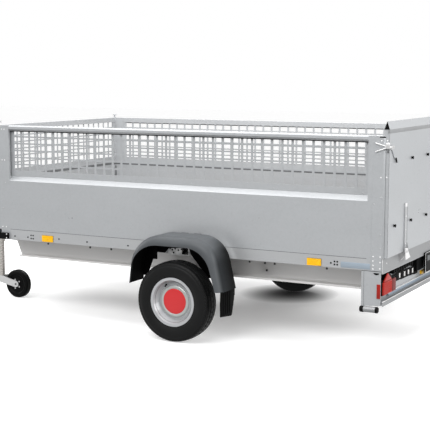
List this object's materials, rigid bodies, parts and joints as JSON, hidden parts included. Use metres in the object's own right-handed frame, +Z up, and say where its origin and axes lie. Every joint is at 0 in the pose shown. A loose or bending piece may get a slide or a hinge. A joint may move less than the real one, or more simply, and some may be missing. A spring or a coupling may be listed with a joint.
{
  "type": "single-axle utility trailer",
  "caption": "Box trailer with steel walls, punched grille sides, a drop tailgate, moulded fenders over one axle, and a V drawbar with a jockey wheel.",
  "frame": {"origin": "on the ground under the middle of the overall length and width", "axes": "+X forward towards the coupling, +Y to the left, +Z up"},
  "size_m": [4.414, 2.14, 1.505],
  "materials": {
    "zinc_sheet": "hot-dip galvanised sheet, dull grey with a faint spangle",
    "zinc_frame": "hot-dip galvanised profile, matt",
    "zinc_fitting": "zinc-plated, satin",
    "cast_steel": "painted dark, satin",
    "fender_plastic": "moulded dark grey plastic, satin",
    "black_plastic": "moulded black plastic, slightly glossy",
    "black_paint": "matt black paint",
    "rim_paint": "silver paint",
    "tyre": "matt black",
    "rubber": "matt black",
    "wheel_cap": "glossy red moulding",
    "plywood": "phenolic-faced brown plywood",
    "red_lens": "glossy red lens",
    "amber_lens": "glossy amber reflector",
    "lamp_housing": "black lamp housing with a clear lens"
  },
  "bodies": {
    "chassis": {"side_rails": "zinc_sheet", "chassis_members": "zinc_frame", "crossmembers": "zinc_sheet", "front_sill": "zinc_sheet", "rear_sill": "zinc_sheet", "floor_panel": "plywood", "drawbar_arms": "zinc_frame", "drawbar_nose_plate": "zinc_frame", "coupling_body": "cast_steel", "coupling_handle": "black_plastic", "axle_beam": "zinc_frame", "swing_arms": "zinc_frame", "corner_posts": "zinc_sheet", "side_walls": "zinc_sheet", "side_grilles": "zinc_sheet", "front_wall": "zinc_sheet", "front_grille": "zinc_sheet", "hinge_tongues": "zinc_frame", "light_carrier": "zinc_frame", "tail_lamps": "red_lens", "plate_base": "black_plastic", "corner_rollers": "zinc_fitting", "side_reflectors": "amber_lens", "front_markers": "lamp_housing", "mud_flaps": "rubber", "fender_brackets": "black_paint", "fender_left": "fender_plastic", "fender_right": "fender_plastic", "jockey_outer_tube": "zinc_fitting", "jockey_clamp": "zinc_fitting", "jockey_crank": "zinc_fitting"},
    "wheel_left": {"hub_left": "zinc_fitting", "rim_left": "rim_paint", "tyre_left": "tyre", "wheel_cap_left": "wheel_cap"},
    "wheel_right": {"hub_right": "zinc_fitting", "rim_right": "rim_paint", "tyre_right": "tyre", "wheel_cap_right": "wheel_cap"},
    "tailgate": {"tailgate": "zinc_sheet", "tailgate_caps": "black_plastic", "hinge_straps": "zinc_frame", "latches": "zinc_frame"},
    "jockey_leg": {"jockey_inner_tube": "zinc_fitting"},
    "jockey_fork": {"jockey_fork": "zinc_fitting"},
    "jockey_wheel": {"jockey_wheel": "rubber"}
  },
  "joints": [
    {"name": "wheel_left_spin", "type": "hinge", "parent": "chassis", "child": "wheel_left", "pos_m": [-0.766, 0.978, 0.275], "axis": [0, 1, 0], "continuous": true},
    {"name": "wheel_right_spin", "type": "hinge", "parent": "chassis", "child": "wheel_right", "pos_m": [-0.766, -0.978, 0.275], "axis": [0, 1, 0], "continuous": true},
    {"name": "tailgate_drop", "type": "hinge", "parent": "chassis", "child": "tailgate", "pos_m": [-2.201, 0, 0.648], "axis": [0, -1, 0], "range_deg": [0, 130]},
    {"name": "jockey_lift", "type": "slide", "parent": "chassis", "child": "jockey_leg", "axis": [0, 0, 1], "range_m": [0, 0.2]},
    {"name": "jockey_swivel", "type": "hinge", "parent": "jockey_leg", "child": "jockey_fork", "pos_m": [1.268, 0.30998, 0.171], "axis": [0, 0, 1], "continuous": true},
    {"name": "jockey_wheel_spin", "type": "hinge", "parent": "jockey_fork", "child": "jockey_wheel", "pos_m": [1.102, 0.30998, 0.113], "axis": [0, 1, 0], "continuous": true}
  ]
}
